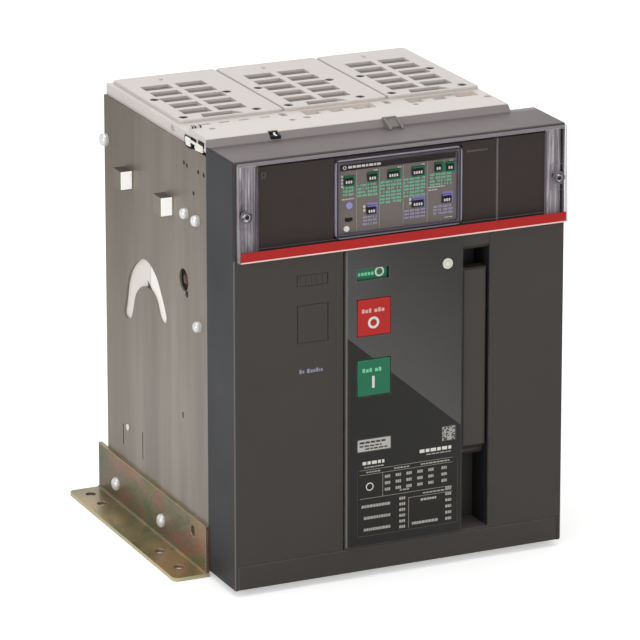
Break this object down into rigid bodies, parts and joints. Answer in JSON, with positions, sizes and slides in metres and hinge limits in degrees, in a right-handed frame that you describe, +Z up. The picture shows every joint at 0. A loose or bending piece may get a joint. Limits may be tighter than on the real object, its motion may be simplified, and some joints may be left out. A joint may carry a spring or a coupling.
{
  "type": "air circuit breaker",
  "caption": "Fixed three-pole low-voltage air circuit breaker with charging handle, push-buttons, see-through trip unit cover, vented arc chambers and foot brackets.",
  "frame": {"origin": "on the mounting plane under the feet, in the middle of the four outer foot holes", "axes": "+Z up, -Y towards the front cover, +X to the right of a person facing the front"},
  "size_m": [0.3294, 0.3026, 0.3562],
  "materials": {
    "zinc_steel": "brushed galvanised sheet",
    "passivated_steel": "yellow iridescent passivation",
    "bright_steel": "bright zinc",
    "light_grey_moulding": "moulded, fine grain",
    "black_steel": "black oxide",
    "dull_steel": "plain cold-rolled",
    "spring_steel": "oiled spring steel",
    "copper": "plain copper",
    "silver_tip": "silver contact alloy",
    "resin": "cast resin",
    "carrier_moulding": "thermoset moulding",
    "charcoal_plastic": "charcoal, fine texture",
    "charcoal_gloss": "charcoal, satin",
    "dark_panel": "near black, smooth",
    "face_plate": "printed face",
    "label_dark": "printed film",
    "red_plastic": "red",
    "green_plastic": "green",
    "white_plastic": "white",
    "blue_plastic": "light blue",
    "black_plastic": "black",
    "clear_plastic": "clear polycarbonate",
    "red_band": "red, satin"
  },
  "bodies": {
    "frame": {"left_side_plate": "zinc_steel", "right_side_plate": "zinc_steel", "left_foot_bracket": "passivated_steel", "right_foot_bracket": "passivated_steel", "foot_bracket_bolts": "bright_steel", "side_plate_studs": "bright_steel", "pole_case_front": "light_grey_moulding", "pole_case_rear": "light_grey_moulding", "top_front_strip": "light_grey_moulding", "arc_chamber_left": "light_grey_moulding", "arc_chamber_centre": "light_grey_moulding", "arc_chamber_right": "light_grey_moulding", "arc_chamber_screws": "black_steel", "arc_splitter_plates": "dull_steel", "upper_terminals": "copper", "fixed_contact_tips": "silver_tip", "lower_terminals": "copper", "current_sensors": "resin", "flexible_braids": "copper", "contact_pivot_pins": "bright_steel", "mechanism_side_plates": "dull_steel", "mechanism_tie_rods": "bright_steel", "closing_spring": "spring_steel", "opening_springs": "spring_steel", "charging_motor": "black_plastic", "release_coils": "resin", "auxiliary_contact_block": "black_plastic", "front_cover": "charcoal_plastic", "bottom_trim_strip": "charcoal_plastic", "central_escutcheon": "charcoal_gloss", "round_plug": "white_plastic", "rating_labels": "label_dark", "upper_panel": "dark_panel", "trip_unit_housing": "charcoal_gloss", "trip_unit_faceplate": "face_plate", "dip_switch_blocks": "black_plastic"},
    "off_button": {"off_button": "red_plastic"},
    "on_button": {"on_button": "green_plastic"},
    "trip_latch": {"trip_latch_shaft": "dull_steel"},
    "close_latch": {"close_latch_shaft": "dull_steel"},
    "opening_plunger": {"opening_coil_plunger": "bright_steel"},
    "closing_plunger": {"closing_coil_plunger": "bright_steel"},
    "handle": {"charging_handle": "charcoal_plastic", "handle_shaft": "bright_steel"},
    "ratchet_lever": {"ratchet_lever": "dull_steel", "drive_pawl": "dull_steel"},
    "camshaft": {"camshaft": "dull_steel", "ratchet_wheel": "dull_steel"},
    "main_shaft": {"main_shaft": "dull_steel"},
    "moving_contacts": {"contact_fingers": "copper", "contact_carriers": "carrier_moulding"},
    "coupling_rods": {"coupling_rods": "dull_steel"},
    "position_flag": {"position_flag": "green_plastic"},
    "transparent_cover": {"transparent_cover": "clear_plastic", "red_trim_band": "red_band"},
    "cover_screw_left": {"cover_screw_left": "black_plastic"},
    "cover_screw_right": {"cover_screw_right": "black_plastic"},
    "reset_button": {"reset_button": "blue_plastic"},
    "test_button": {"test_button": "white_plastic"},
    "setting_sliders": {"setting_sliders": "white_plastic"}
  },
  "joints": [
    {"name": "off_press", "type": "slide", "parent": "frame", "child": "off_button", "axis": [0, 1, 0], "range_m": [0, 0.005]},
    {"name": "on_press", "type": "slide", "parent": "frame", "child": "on_button", "axis": [0, 1, 0], "range_m": [0, 0.005]},
    {"name": "trip_latch_turn", "type": "hinge", "parent": "frame", "child": "trip_latch", "pos_m": [0, -0.137, 0.2336], "axis": [1, 0, 0], "range_deg": [0, 19]},
    {"name": "close_latch_turn", "type": "hinge", "parent": "frame", "child": "close_latch", "pos_m": [0, -0.137, 0.1849], "axis": [1, 0, 0], "range_deg": [0, 19]},
    {"name": "opening_plunger_slide", "type": "slide", "parent": "frame", "child": "opening_plunger", "axis": [0, 0, 1], "range_m": [0, 0.004]},
    {"name": "closing_plunger_slide", "type": "slide", "parent": "frame", "child": "closing_plunger", "axis": [0, 0, 1], "range_m": [0, 0.004]},
    {"name": "handle_swing", "type": "hinge", "parent": "frame", "child": "handle", "pos_m": [0.07, -0.152, 0.092], "axis": [1, 0, 0], "range_deg": [0, 80]},
    {"name": "ratchet_rock", "type": "hinge", "parent": "frame", "child": "ratchet_lever", "pos_m": [0.05, -0.1096, 0.1344], "axis": [1, 0, 0], "range_deg": [-21, 1]},
    {"name": "camshaft_turn", "type": "hinge", "parent": "frame", "child": "camshaft", "pos_m": [0, -0.1096, 0.1344], "axis": [-1, 0, 0], "continuous": true, "deforming": ["closing_spring"]},
    {"name": "main_shaft_turn", "type": "hinge", "parent": "frame", "child": "main_shaft", "pos_m": [0, -0.069, 0.23], "axis": [1, 0, 0], "range_deg": [0, 22.9], "deforming": ["opening_springs"]},
    {"name": "contacts_close", "type": "hinge", "parent": "frame", "child": "moving_contacts", "pos_m": [0, 0.025, 0.12], "axis": [1, 0, 0], "range_deg": [-16.2, 0]},
    {"name": "rods_swing", "type": "hinge", "parent": "moving_contacts", "child": "coupling_rods", "pos_m": [0, -0.00362, 0.16901], "axis": [1, 0, 0], "range_deg": [0, 25]},
    {"name": "flag_drop", "type": "slide", "parent": "frame", "child": "position_flag", "axis": [0, 0, -1], "range_m": [0, 0.0099]},
    {"name": "cover_lift_off", "type": "slide", "parent": "frame", "child": "transparent_cover", "axis": [0, -1, 0], "range_m": [0, 0.04]},
    {"name": "cover_screw_left_turn", "type": "hinge", "parent": "transparent_cover", "child": "cover_screw_left", "pos_m": [-0.1258, -0.17, 0.3065], "axis": [0, 1, 0], "range_deg": [0, 90]},
    {"name": "cover_screw_right_turn", "type": "hinge", "parent": "transparent_cover", "child": "cover_screw_right", "pos_m": [0.14, -0.17, 0.3065], "axis": [0, 1, 0], "range_deg": [0, 90]},
    {"name": "reset_press", "type": "slide", "parent": "frame", "child": "reset_button", "axis": [0, 1, 0], "range_m": [0, 0.001]},
    {"name": "test_press", "type": "slide", "parent": "frame", "child": "test_button", "axis": [0, 1, 0], "range_m": [0, 0.001]},
    {"name": "settings_slide", "type": "slide", "parent": "frame", "child": "setting_sliders", "axis": [0, 0, 1], "range_m": [0, 0.0022]}
  ],
  "couplings": [
    {"joint": "trip_latch_turn", "follows": "off_press", "rad_per_m": 62},
    {"joint": "close_latch_turn", "follows": "on_press", "rad_per_m": 62},
    {"joint": "ratchet_rock", "follows": "handle_swing", "ratio": -0.259},
    {"joint": "contacts_close", "follows": "main_shaft_turn", "ratio": -0.69869},
    {"joint": "rods_swing", "follows": "main_shaft_turn", "ratio": 1.0515},
    {"joint": "flag_drop", "follows": "main_shaft_turn", "m_per_rad": 0.02452}
  ]
}
